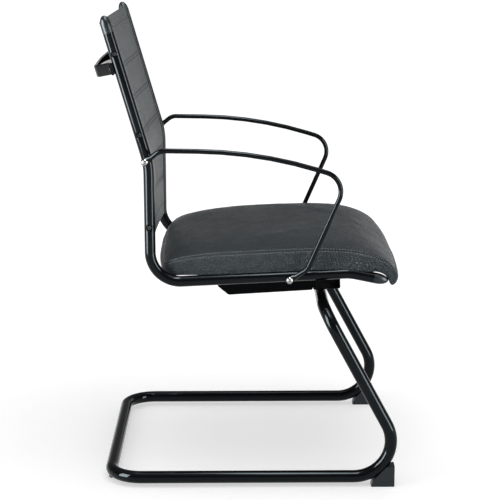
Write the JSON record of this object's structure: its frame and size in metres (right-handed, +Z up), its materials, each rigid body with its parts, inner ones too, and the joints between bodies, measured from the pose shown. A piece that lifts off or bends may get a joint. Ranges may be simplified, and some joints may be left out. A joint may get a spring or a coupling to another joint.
{
  "type": "guest chair",
  "caption": "Cantilever guest chair: bent black tube sled base, rod arms, slung ribbed leather back with a bowed rear brace, and a crowned leather seat with a rolled front.",
  "frame": {"origin": "centre of the bounding box on the floor plane", "axes": "+X the way the chair faces, +Y towards the sitter's left, +Z up"},
  "size_m": [0.6187, 0.5634, 0.9495],
  "materials": {
    "gloss_black_paint": "gloss",
    "satin_black_paint": "satin",
    "black_plastic": "gloss",
    "black_rubber": "matte",
    "bright_chrome": "polished",
    "black_steel": "blackened",
    "charcoal_leather": "semi-gloss, grained",
    "plywood": "bare"
  },
  "bodies": {
    "root": {"base_frame": "gloss_black_paint", "front_foot_right": "black_plastic", "rear_glide_right": "black_plastic", "side_frame_right": "gloss_black_paint", "post_cap_right": "black_plastic", "rail_plug_right": "black_plastic", "back_stile_right": "satin_black_paint", "armrest_right": "gloss_black_paint", "brace_screw_right": "black_steel", "back_screw_upper_right": "black_steel", "back_screw_middle_right": "black_steel", "back_screw_lower_right": "black_steel", "arm_bolt_front_right": "bright_chrome", "arm_washer_front_right": "bright_chrome", "seat_bolt_front_right": "bright_chrome", "seat_spacer_front_right": "black_rubber", "arm_bolt_rear_right": "bright_chrome", "arm_washer_rear_right": "bright_chrome", "seat_bolt_rear_right": "bright_chrome", "seat_spacer_rear_right": "black_rubber", "front_foot_left": "black_plastic", "rear_glide_left": "black_plastic", "side_frame_left": "gloss_black_paint", "post_cap_left": "black_plastic", "rail_plug_left": "black_plastic", "back_stile_left": "satin_black_paint", "armrest_left": "gloss_black_paint", "brace_screw_left": "black_steel", "back_screw_upper_left": "black_steel", "back_screw_middle_left": "black_steel", "back_screw_lower_left": "black_steel", "arm_bolt_front_left": "bright_chrome", "arm_washer_front_left": "bright_chrome", "seat_bolt_front_left": "bright_chrome", "seat_spacer_front_left": "black_rubber", "arm_bolt_rear_left": "bright_chrome", "arm_washer_rear_left": "bright_chrome", "seat_bolt_rear_left": "bright_chrome", "seat_spacer_rear_left": "black_rubber", "cross_channel": "satin_black_paint", "mount_tray": "satin_black_paint", "seat_cross_bar_front": "satin_black_paint", "seat_cross_bar_rear": "satin_black_paint", "seat_board": "plywood", "seat_cushion": "charcoal_leather", "back_panel": "charcoal_leather", "back_brace": "gloss_black_paint"}
  },
  "joints": []
}
